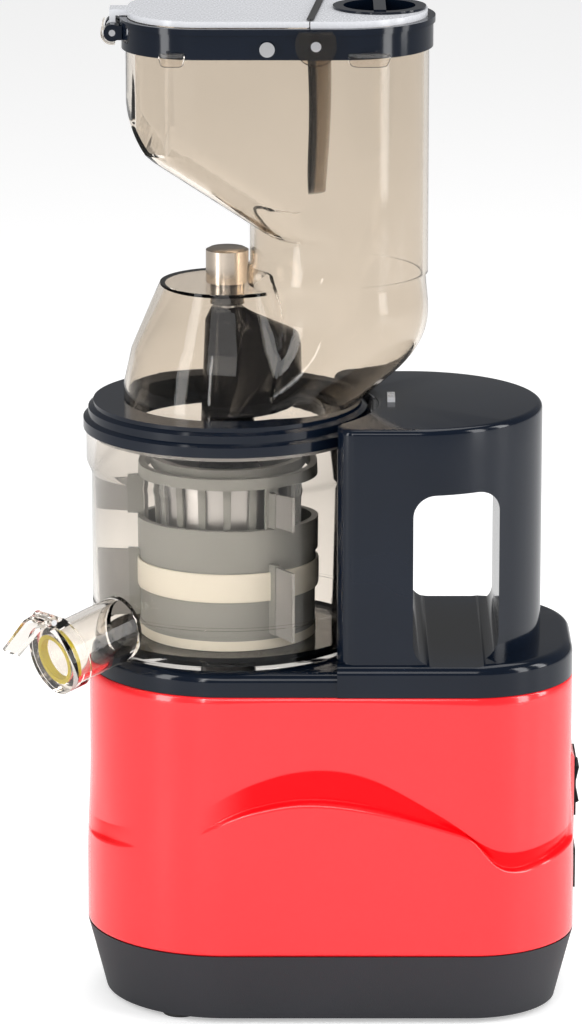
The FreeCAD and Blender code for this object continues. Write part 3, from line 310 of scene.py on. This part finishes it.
# %% Shape the red housing
PLAN_DEPTH, PLAN_RIGHT, PLAN_CORNER = 68.0, 170.0, 50.0
RED_LOW, RED_HIGH = 38.0, 171.0
UPPER_SWELL, LOWER_SWELL = 1.5, 3.2
END_LEDGE_LOW, END_LEDGE_HIGH = 88.0, 96.0
SWITCH_HOLE = (10.0, 96.0, 121.0)  # half width, bottom and top
INLET_HOLE = (14.0, 56.0, 76.0)
LEDGE_FOOT = [(-78, 84), (-58, 87), (-40, 90), (-20, 96), (-3.5, 105.9), (16.4, 113.1), (36.3, 116.2),
              (56.2, 115.2), (86, 109.5), (112, 102.0), (122, 96.6), (131, 85.5), (141, 80.6), (156, 82.5),
              (176, 88.0)]
LEDGE_BROW = [(-78, 93), (-58, 97), (-40, 101), (-20, 108), (-6, 117.2), (16.4, 128.6), (36.3, 133.8),
              (51.2, 134.3), (71, 129.7), (96, 116.2), (115.8, 103.2), (125.7, 96), (135.7, 91.5),
              (150.6, 91.0), (176, 96.0)]
LEDGE_LEAST = 1.2
LEDGE_HOLLOW = 0.2
WAVE_STARTS, WAVE_ENDS = (-16, 14), (168.5, 170)
NOTCH_STARTS, NOTCH_ENDS = (-69, -60), (-62, -42)
BLEND_HEIGHTS = (70, 125)
PAD_FOOT, PAD_TOP = (50, 52), (126, 129)
EDGE_TUCK = 0.7
RED_WALL = 2.6
OUTLINE_POINTS = 330


def spline(xs, ys, at):
    """A natural cubic spline: the second derivatives come from one small linear system."""
    xs, ys = np.asarray(xs, float), np.asarray(ys, float)
    h = np.diff(xs)
    system = np.eye(len(xs))
    right = np.zeros(len(xs))
    for i in range(1, len(xs) - 1):
        system[i, i - 1:i + 2] = h[i - 1], 2 * (h[i - 1] + h[i]), h[i]
        right[i] = 6 * ((ys[i + 1] - ys[i]) / h[i] - (ys[i] - ys[i - 1]) / h[i - 1])
    bend = np.linalg.solve(system, right)
    i = np.clip(np.searchsorted(xs, at) - 1, 0, len(xs) - 2)
    a, b = xs[i + 1] - at, at - xs[i]
    return ((bend[i] * a ** 3 + bend[i + 1] * b ** 3) / (6 * h[i]) + (ys[i] / h[i] - bend[i] * h[i] / 6) * a
            + (ys[i + 1] / h[i] - bend[i + 1] * h[i] / 6) * b)


def step(low, high, x):
    """0 below low, 1 above high and a smooth S between."""
    t = np.clip((x - low) / (high - low), 0, 1)
    return t * t * (3 - 2 * t)


def base_outline(count):
    """Points and outward normals round the base, with exact stops at the edges of the openings."""
    flat = PLAN_DEPTH - PLAN_CORNER
    straight = PLAN_RIGHT - PLAN_CORNER
    left = np.radians(np.linspace(270, 90, count // 3))
    front_bend = np.radians(np.linspace(0, -90, count // 8))
    back_bend = np.radians(np.linspace(90, 0, count // 8))
    run = np.linspace(0, straight, count // 5)[1:-1]
    stops = np.array([16, INLET_HOLE[0], 12, SWITCH_HOLE[0], 5, 0])
    end = np.concatenate([stops, -stops[:-1][::-1]])
    x = np.concatenate([PLAN_DEPTH * np.cos(left), run, straight + PLAN_CORNER * np.cos(back_bend),
                        np.full(len(end), PLAN_RIGHT), straight + PLAN_CORNER * np.cos(front_bend),
                        run[::-1]])
    y = np.concatenate([PLAN_DEPTH * np.sin(left), np.full(len(run), PLAN_DEPTH),
                        flat + PLAN_CORNER * np.sin(back_bend), end, -flat + PLAN_CORNER * np.sin(front_bend),
                        np.full(len(run), -PLAN_DEPTH)])
    nx = np.concatenate([np.cos(left), run * 0, np.cos(back_bend), end * 0 + 1, np.cos(front_bend), run * 0])
    ny = np.concatenate([np.sin(left), run * 0 + 1, np.sin(back_bend), end * 0, np.sin(front_bend),
                         run * 0 - 1])
    return x, y, nx, ny


def grid_faces(rows, columns, closed=False):
    """Quads between the rows of a grid of points; a closed grid joins its last column to its first."""
    index = np.arange(rows * columns).reshape(rows, columns)
    if closed:
        index = np.concatenate([index, index[:, :1]], 1)
    return np.stack([index[:-1, :-1], index[1:, :-1], index[1:, 1:], index[:-1, 1:]], -1).reshape(-1, 4)


def add_wall(piece, thickness, offset):
    """Gives a sheet its wall, in millimetres."""
    wall = piece.modifiers.new("wall", "SOLIDIFY")
    wall.thickness = thickness * MM
    wall.offset = offset


def sheet_mesh(name, points, faces, ride, slot_name, stands_for=(), attribute=None):
    """A mesh object from an array of points in millimetres round the bowl axis, and quads."""
    mesh = bpy.data.meshes.new(name)
    place = points * MM + np.array([AX, AY, 0.0])
    mesh.from_pydata([tuple(p) for p in place.tolist()], [], [tuple(f) for f in faces.tolist()])
    mesh.polygons.foreach_set("use_smooth", np.ones(len(mesh.polygons), bool))
    if attribute is not None:
        label, values = attribute
        layer = mesh.attributes.new(label, "FLOAT", "POINT")
        layer.data.foreach_set("value", np.asarray(values, np.float32))
    mesh.update()
    piece = bpy.data.objects.new(name, mesh)
    bpy.context.scene.collection.objects.link(piece)
    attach(piece, ride)
    if stands_for:
        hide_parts(*stands_for)
    piece.data.materials.append(finishes[slot_name])
    return piece


def red_housing():
    """Rows follow the wave: below the ledge, across it, and above it; the swell sets the distance out."""
    x, y, nx, ny = base_outline(OUTLINE_POINTS)
    on_end = x >= PLAN_RIGHT - 0.01
    foot = np.where(on_end, END_LEDGE_LOW, spline(*zip(*LEDGE_FOOT), x))
    brow = np.maximum(np.where(on_end, END_LEDGE_HIGH, spline(*zip(*LEDGE_BROW), x)), foot + LEDGE_LEAST)
    crisp = (step(*WAVE_STARTS, x) * (1 - step(*WAVE_ENDS, x))
             + (1 - step(*NOTCH_ENDS, x)) * step(*NOTCH_STARTS, x))

    # Each row is a zone and a share of its height. Rows meet the edges of the two openings on the flat end.
    inlet_from, inlet_to = ((level - RED_LOW) / (END_LEDGE_LOW - RED_LOW) for level in INLET_HOLE[1:])
    switch_to = (SWITCH_HOLE[2] - END_LEDGE_HIGH) / (RED_HIGH - END_LEDGE_HIGH)
    below = [0.0, 0.02, *np.linspace(0.04, inlet_from, 7), *np.linspace(inlet_from, inlet_to, 6)[1:],
             *np.linspace(inlet_to, 0.98, 5)[1:]]
    across = [0.0, 0.05, 0.12, 0.22, 0.34, 0.48, 0.62, 0.76, 0.88, 0.95, 1.0]
    above = [*np.linspace(0.02, switch_to, 7), *np.linspace(switch_to, 0.985, 12)[1:], 1.0]
    rows = [("below", s) for s in below] + [("across", s) for s in across] + [("above", s) for s in above]

    points, shade = [], []
    for number, (zone, share) in enumerate(rows):
        dark = 0.0
        if zone == "below":
            z = RED_LOW + (foot - RED_LOW) * share
            sharp = LOWER_SWELL
        elif zone == "across":
            z = foot + (brow - foot) * share
            hollow = LOWER_SWELL + (LEDGE_HOLLOW - LOWER_SWELL) * step(0.0, 0.14, share)
            sharp = hollow + (UPPER_SWELL - LEDGE_HOLLOW) * step(0.1, 1.0, share)
            # Rows across the ledge band are marked for painted shade, and the red finish darkens them.
            dark = float(0.03 < share < 0.97)
        else:
            z = brow + (RED_HIGH - brow) * share
            sharp = UPPER_SWELL
        even = LOWER_SWELL + (UPPER_SWELL - LOWER_SWELL) * step(*BLEND_HEIGHTS, z)
        swell = crisp * sharp + (1 - crisp) * even
        pad = on_end * step(*PAD_FOOT, z) * (1 - step(*PAD_TOP, z))
        swell = swell + (LOWER_SWELL - swell) * pad
        if number in (0, len(rows) - 1):
            swell = swell - EDGE_TUCK
        points.append(np.stack([x + nx * swell, y + ny * swell, z], 1))
        shade.append(dark * crisp)
    points = np.concatenate(points)
    faces = grid_faces(len(rows), len(x), closed=True)
    middle_x, middle_y, middle_z = points[faces].mean(1).T
    keep = np.ones(len(faces), bool)
    for half, low, high in (SWITCH_HOLE, INLET_HOLE):
        keep &= ~((middle_x > PLAN_RIGHT) & (abs(middle_y) < half) & (middle_z > low) & (middle_z < high))
    # The ledge attribute carries that painted shade of the band to the red finish.
    piece = sheet_mesh("red_shell", points, faces[keep], "base", "gloss_red", ["red_housing"],
                       ("ledge", np.concatenate(shade)))
    add_wall(piece, RED_WALL, -1.0)
    print("red housing", len(rows), "rows of", len(x))


red_housing()

# %% [markdown]
# The auger
# The screw is one moulding: a core, a helical blade that presses the fruit against the strainer, and a
# steep shoulder at the top that catches what falls out of the chute. Every level of it can be seen from
# the axis, so it is one distance from the axis as a function of angle and height. That makes the blade
# swell out of the core with a real root radius, which a swept profile would not have.

# %% Shape the auger
AUGER_LOW, AUGER_FOOT, AUGER_TOP = 188.0, 196.0, 352.0
HUB_RADIUS, BORE_RADIUS, BORE_TOP = 10.4, 8.4, 217.6
HUB_CHAMFER, BORE_CHAMFER = 0.6, 0.2
TOP_FLAT = 4.6
CORE = [(AUGER_FOOT, 18.0), (206, 15.5), (240, 15.0), (279, 14.0), (346, 11.0), (AUGER_TOP, 8.0)]
BLADE_RADIUS, BLADE_PITCH, BLADE_START = 29.6, 36.0, 202.0
BLADE_WIDTH = 0.34  # in radians, from its middle to where about a third of its height is left
BLADE_GROWS, BLADE_FADES = (198, 204), (262, 276)
SHOULDER = [(290, 32.0), (316, 37.0), (334, 36.5), (346, 33.0), (AUGER_TOP, 30.0)]
SHOULDER_TURN = math.radians(-20)
SHOULDER_LOW, SHOULDER_HIGH, SHOULDER_BLEND = 296.0, 347.0, 9.0
SHOULDER_STARTS, SHOULDER_ENDS, SHOULDER_EDGE = (-2.0, -1.7), (1.5, 1.9), 7.0
LEADING_DROP, LEADING_TURN, LEADING_POWER, TRAILING_DROP = 14.0, 0.6, 1.6, 9.0
AUGER_COLUMNS, AUGER_ROWS = 240, 230


def auger_radius(angle, z):
    """Core, plus the blade where the angle is near the helix, plus the shoulder under its rising edge."""
    core = np.interp(z, *zip(*CORE))
    away = np.angle(np.exp(1j * (angle - 2 * np.pi * (z - BLADE_START) / BLADE_PITCH)))
    blade = np.exp(-(away / BLADE_WIDTH) ** 4) * step(*BLADE_GROWS, z) * (1 - step(*BLADE_FADES, z))
    radius = core + (BLADE_RADIUS - core) * blade
    wall = np.interp(z, *zip(*SHOULDER))
    turned = np.angle(np.exp(1j * (angle - SHOULDER_TURN)))
    leading, trailing = np.clip(-turned / LEADING_TURN, 0, 9), np.clip(turned, 0, 9)
    edge = SHOULDER_HIGH - LEADING_DROP * leading ** LEADING_POWER - TRAILING_DROP * trailing ** 2
    shoulder = step(-SHOULDER_EDGE, SHOULDER_EDGE, edge - z)
    shoulder = shoulder * step(SHOULDER_LOW, SHOULDER_LOW + SHOULDER_BLEND, z)
    shoulder = shoulder * (1 - step(*SHOULDER_ENDS, turned)) * step(*SHOULDER_STARTS, turned)
    return radius + (wall - radius) * shoulder


def auger():
    """Rings from the top pole down the outside, under the foot and up inside the bore to its end."""
    angle = np.linspace(0, 2 * np.pi, AUGER_COLUMNS, endpoint=False)
    z = np.linspace(AUGER_TOP, AUGER_FOOT, AUGER_ROWS)
    radius = auger_radius(angle[None, :], z[:, None])
    top = [(0.0, AUGER_TOP), (TOP_FLAT, AUGER_TOP)]
    foot = [(HUB_RADIUS, AUGER_FOOT), (HUB_RADIUS, AUGER_LOW + HUB_CHAMFER),
            (HUB_RADIUS - HUB_CHAMFER, AUGER_LOW), (BORE_RADIUS + BORE_CHAMFER, AUGER_LOW),
            (BORE_RADIUS, BORE_TOP), (0.0, BORE_TOP)]
    rows = [*top, *zip(radius, z), *foot]
    ring = np.ones(AUGER_COLUMNS)
    points = np.array([np.stack([r * np.cos(angle), r * np.sin(angle), ring * level], 1)
                       for r, level in rows])
    faces = grid_faces(len(rows), AUGER_COLUMNS, closed=True)
    piece = sheet_mesh("auger_screw", points.reshape(-1, 3), faces, "screw", "dark_plastic", ["auger"])
    poles = piece.modifiers.new("poles", "WELD")
    poles.merge_threshold = WELD_REACH
    return piece


auger_screw = auger()
print("auger", len(auger_screw.data.polygons), "faces")

# %% [markdown]
# The cream band
# A cream ring sits round the grey brush cup. Every point of its section goes round the axis, so the whole
# ring is one array of points.

# %% Shape the cream band
BAND_RADIUS, BAND_HALF_WALL = 44.1, 0.85
BAND_MIDDLE, BAND_HALF_HEIGHT = 27.5, 7.4  # the middle is measured up from the foot of the brush frame
SQUARENESS = 0.4
brush_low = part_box("brush_frame")[0]


def cream_band():
    """The section is a squared oval, from one power curve in each direction."""
    section = np.linspace(0, 2 * np.pi, 40, endpoint=False)
    around = np.linspace(0, 2 * np.pi, 180, endpoint=False)
    wide, tall = (np.sign(part) * abs(part) ** SQUARENESS for part in (np.cos(section), np.sin(section)))
    out = BAND_RADIUS + BAND_HALF_WALL * wide
    level = brush_low.z / MM + BAND_MIDDLE + BAND_HALF_HEIGHT * tall
    a, r = np.meshgrid(around, out)
    _, z = np.meshgrid(around, level)
    index = np.arange(r.size).reshape(r.shape)
    down = np.roll(index, -1, 0)
    faces = np.stack([index, np.roll(index, -1, 1), np.roll(down, -1, 1), down], -1).reshape(-1, 4)
    points = np.stack([r * np.cos(a), r * np.sin(a), z], -1).reshape(-1, 3)
    return sheet_mesh("cream_band", points, faces, "brush", "cream_plastic")


print("cream band", len(cream_band().data.polygons), "faces")

# %% [markdown]
# The gate blade
# The swinging gate is a curved paddle. Seen from the front it shows its bowed face and the dark rim that
# stiffens it. It is drawn as a grid across and down, bowed across, narrowed to a round tip, and given its
# thickness at the end.

# %% Shape the gate blade
GATE_HALF_WIDTH, GATE_LENGTH, GATE_DROP = 26.0, 76.0, 4.0
GATE_BOW, GATE_SAG, GATE_WALL = 10.5, 1.2, 1.6
GATE_EDGE_GAP, GATE_TAPER, GATE_BOW_LOSS = 0.6, 0.12, 0.25
TIP_START, TIP_SHARE, TIP_POWER, TIP_LEAST = 0.72, 0.29, 2.4, 0.02
RIM_START, RIM_FADE = 0.80, 0.06
gate_middle, gate_half = middle("swing_gate")
gate_shaft_at = middle("gate_shaft")[0]


def gate_blade():
    """The middle bows out to the right of the side edges, and the outline narrows to a rounded tip."""
    s, t = np.meshgrid(np.linspace(-1, 1, 41), np.linspace(0, 1, 61))
    past_tip = np.clip((t - TIP_START) / TIP_SHARE, 0, 1)
    width = GATE_HALF_WIDTH * np.sqrt(np.clip(1 - past_tip ** TIP_POWER, TIP_LEAST, 1)) * (1 - GATE_TAPER * t)
    bow = GATE_BOW * (1 - s ** 2) * (1 - GATE_BOW_LOSS * t) + GATE_SAG * np.sin(np.pi * t)
    left = (gate_middle.x - gate_half.x - AX) / MM + GATE_EDGE_GAP
    top = gate_shaft_at.z / MM - GATE_DROP
    points = np.stack([left + bow, (gate_middle.y - AY) / MM + s * width, top - GATE_LENGTH * t], -1)
    rim = np.clip((abs(s) - RIM_START) / RIM_FADE, 0, 1)
    piece = sheet_mesh("gate_blade", points.reshape(-1, 3), grid_faces(*s.shape), "gate", "smoke_plastic",
                       ["swing_gate"], ("rim", rim.reshape(-1)))
    add_wall(piece, GATE_WALL, 0.0)
    return piece


blade = gate_blade()
blade.data.materials.clear()
blade.data.materials.append(gate_finish())
print("gate blade", len(blade.data.polygons), "faces")

# %% [markdown]
# Trim at the rim
# Where the tray lid meets the chute cover a dark seal fills the split, the collar is snapped to the tray by
# two small clear tabs, and a smoky clip covers each outer knuckle of the hinge at the left end. The clips
# leave the middle free, so that the lid can swing. All are bent plates: one grid of points in two
# directions, given a thickness and a soft edge.

# %% Make the trim
SEAL_HALF_WIDTH, SEAL_HALF_LENGTH, SEAL_CROWN, SEAL_WALL = 1.6, 41.5, 0.5, 0.5
SEAL_LIFT, SEAL_ROUND = 0.3, 1.7
SPLIT_X, SPLIT_SLANT = 44.0, 5.0 / 60.0
TAB_RISE, TAB_DROP, TAB_WALL, TAB_CORNER = 3.0, 6.5, 1.0, 0.35
TAB_INSET, TAB_STAND_OFF, TAB_BELLY = 1.9, 0.3, 0.7
CLIP_RADIUS, CLIP_SQUASH, CLIP_WALL, CLIP_FROM, CLIP_TO = 5.4, 0.98, 0.7, 150, 285
EDGE_ROUND = 0.3
collar_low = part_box("rim_collar")[0]
lid_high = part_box("tray_lid")[1]


def soft_plate(name, points, thickness, ride, slot_name, offset=0.0):
    """A grid of points given a wall, a rounded edge and smooth shading."""
    piece = sheet_mesh(name, points.reshape(-1, 3), grid_faces(*points.shape[:2]), ride, slot_name)
    add_wall(piece, thickness, offset)
    round_edge = piece.modifiers.new("round", "BEVEL")
    round_edge.width = thickness * EDGE_ROUND * MM
    round_edge.segments = 3
    round_edge.limit_method = "ANGLE"
    return piece


def split_seal():
    """A rounded dark bead that follows the slanted split from the front edge to the back."""
    across, along = np.meshgrid(np.linspace(-SEAL_HALF_WIDTH, SEAL_HALF_WIDTH, 9),
                                np.linspace(-SEAL_HALF_LENGTH, SEAL_HALF_LENGTH, 60))
    x = SPLIT_X + SPLIT_SLANT * along + across
    z = lid_high.z / MM + SEAL_LIFT + SEAL_CROWN * np.sqrt(1 - (across / SEAL_ROUND) ** 2)
    return soft_plate("split_seal", np.stack([x, along, z], -1), SEAL_WALL, "hopper", "rubber", -1.0)


def snap_tab(name, centre, width):
    """A clear tab that hangs below the collar on the front wall, with rounded lower corners."""
    front = (collar_low.y - AY) / MM + TAB_INSET
    across, down = np.meshgrid(np.linspace(-1, 1, 21), np.linspace(0, 1, 13))
    reach = np.sqrt(np.clip(1 - abs(across) ** 6, 0, 1))
    x = centre + across * width / 2
    y = front - TAB_STAND_OFF - TAB_BELLY * np.sin(np.pi * down) * reach
    z = collar_low.z / MM + TAB_RISE - down * TAB_DROP * (TAB_CORNER + (1 - TAB_CORNER) * reach)
    return soft_plate(name, np.stack([x, y, z], -1), TAB_WALL, "hopper", "clear_plastic")


def hinge_clip(name, near, far):
    """A smoky cover bent over one outer knuckle of the hinge: an arc in side view, drawn along the pin."""
    pin = middle("hinge_pin")[0]
    turn = np.radians(np.linspace(CLIP_FROM, CLIP_TO, 25))
    along = np.linspace(near, far, 11)
    x, y = np.meshgrid((pin.x - AX) / MM + CLIP_RADIUS * CLIP_SQUASH * np.cos(turn), along)
    z, _ = np.meshgrid(pin.z / MM + CLIP_RADIUS * np.sin(turn), along)
    return soft_plate(name, np.stack([x, y, z], -1), CLIP_WALL, "hopper", "smoke_plastic")


trim = [split_seal(), snap_tab("snap_tab_left", -26.0, 12.0), snap_tab("snap_tab_right", 69.0, 20.0),
        hinge_clip("hinge_clip_front", -15.5, -7.4), hinge_clip("hinge_clip_back", 7.4, 15.5)]
print("trim", [piece.name for piece in trim])

# %% [markdown]
# The studio
# The juicer stands on a pale floor with no horizon. Two tall soft boxes and two narrower strips give the
# long upright highlights on the red body and the black shells, and two broad ones, in front and overhead,
# light the lid and the deck. The room is white for the camera, also through clear plastic, and dimmer in
# reflections, so that the gloss black stays deep.

# %% Floor, lamps and world
FLOOR_REACH, FLOOR_GREY, FLOOR_ROUGHNESS, FLOOR_GLOW = 12.0, 0.82, 0.6, 0.40
ROOM_LIGHT, ROOM_SEEN, ROOM_REFLECTED = 0.55, 1.0, 0.26


def seen_directly(tree, rays):
    """1 for what the camera sees, also through clear plastic."""
    either = tree.nodes.new("ShaderNodeMath")
    either.operation = "MAXIMUM"
    tree.links.new(rays.outputs["Is Camera Ray"], either.inputs[0])
    tree.links.new(rays.outputs["Is Transmission Ray"], either.inputs[1])
    return either.outputs["Value"]


def blend(tree, share, first, second):
    """A mix of two shaders: the first where the share is 0 and the second where it is 1."""
    mix = tree.nodes.new("ShaderNodeMixShader")
    tree.links.new(share, mix.inputs["Fac"])
    tree.links.new(first, mix.inputs[1])
    tree.links.new(second, mix.inputs[2])
    return mix.outputs["Shader"]


def studio_floor():
    """A plain square whose grey is lifted towards white only where the camera looks at it."""
    mesh = bpy.data.meshes.new("floor")
    corners = [(-FLOOR_REACH, -FLOOR_REACH, 0), (FLOOR_REACH, -FLOOR_REACH, 0), (FLOOR_REACH, FLOOR_REACH, 0),
               (-FLOOR_REACH, FLOOR_REACH, 0)]
    mesh.from_pydata(corners, [], [(0, 1, 2, 3)])
    floor = bpy.data.objects.new("floor", mesh)
    bpy.context.scene.collection.objects.link(floor)

    material, tree, surface = shader("floor")
    surface.inputs["Base Color"].default_value = (FLOOR_GREY, FLOOR_GREY, FLOOR_GREY, 1.0)
    surface.inputs["Roughness"].default_value = FLOOR_ROUGHNESS
    glow = tree.nodes.new("ShaderNodeEmission")
    glow.inputs["Strength"].default_value = FLOOR_GLOW
    lifted = tree.nodes.new("ShaderNodeAddShader")
    tree.links.new(surface.outputs["BSDF"], lifted.inputs[0])
    tree.links.new(glow.outputs["Emission"], lifted.inputs[1])
    seen = seen_directly(tree, tree.nodes.new("ShaderNodeLightPath"))
    shown = blend(tree, seen, surface.outputs["BSDF"], lifted.outputs["Shader"])
    output = next(n for n in tree.nodes if n.type == "OUTPUT_MATERIAL")
    tree.links.new(shown, output.inputs["Surface"])
    mesh.materials.append(material)


def softbox(name, place, aim, width, height, power):
    """A rectangular lamp at a place, turned towards a point; metres and watts."""
    lamp = bpy.data.lights.new(name, "AREA")
    lamp.shape = "RECTANGLE"
    lamp.size = width
    lamp.size_y = height
    lamp.energy = power
    holder = bpy.data.objects.new(name, lamp)
    bpy.context.scene.collection.objects.link(holder)
    holder.location = place
    holder.rotation_euler = (Vector(aim) - Vector(place)).to_track_quat("-Z", "Y").to_euler()


def room():
    """One white room with three strengths: as light, as seen by the camera, and in reflections."""
    world = bpy.data.worlds.new("room")
    bpy.context.scene.world = world
    world.use_nodes = True
    tree = world.node_tree
    light = tree.nodes["Background"]
    light.inputs["Color"].default_value = (1.0, 1.0, 1.0, 1.0)
    light.inputs["Strength"].default_value = ROOM_LIGHT
    bright = tree.nodes.new("ShaderNodeBackground")
    bright.inputs["Strength"].default_value = ROOM_SEEN
    dim = tree.nodes.new("ShaderNodeBackground")
    dim.inputs["Strength"].default_value = ROOM_REFLECTED
    rays = tree.nodes.new("ShaderNodeLightPath")
    unseen = blend(tree, rays.outputs["Is Glossy Ray"], light.outputs["Background"],
                   dim.outputs["Background"])
    shown = blend(tree, seen_directly(tree, rays), unseen, bright.outputs["Background"])
    tree.links.new(shown, tree.nodes["World Output"].inputs["Surface"])


studio_floor()
softbox("left_box", (-1.5, -1.1, 0.75), (0, 0, 0.28), 0.45, 1.5, 16)
softbox("right_box", (1.6, -0.9, 0.75), (0, 0, 0.28), 0.40, 1.5, 14)
softbox("front_box", (-0.3, -2.4, 1.5), (0, 0, 0.25), 1.6, 1.0, 18)
softbox("strip_left", (-0.75, -2.0, 0.9), (0.02, 0, 0.42), 0.10, 1.3, 5)
softbox("strip_right", (1.9, -0.15, 0.8), (0.05, 0, 0.40), 0.35, 1.3, 12)
softbox("top_box", (0.2, 0.3, 2.0), (0, 0, 0.3), 1.4, 1.4, 18)
room()
print("studio ready")
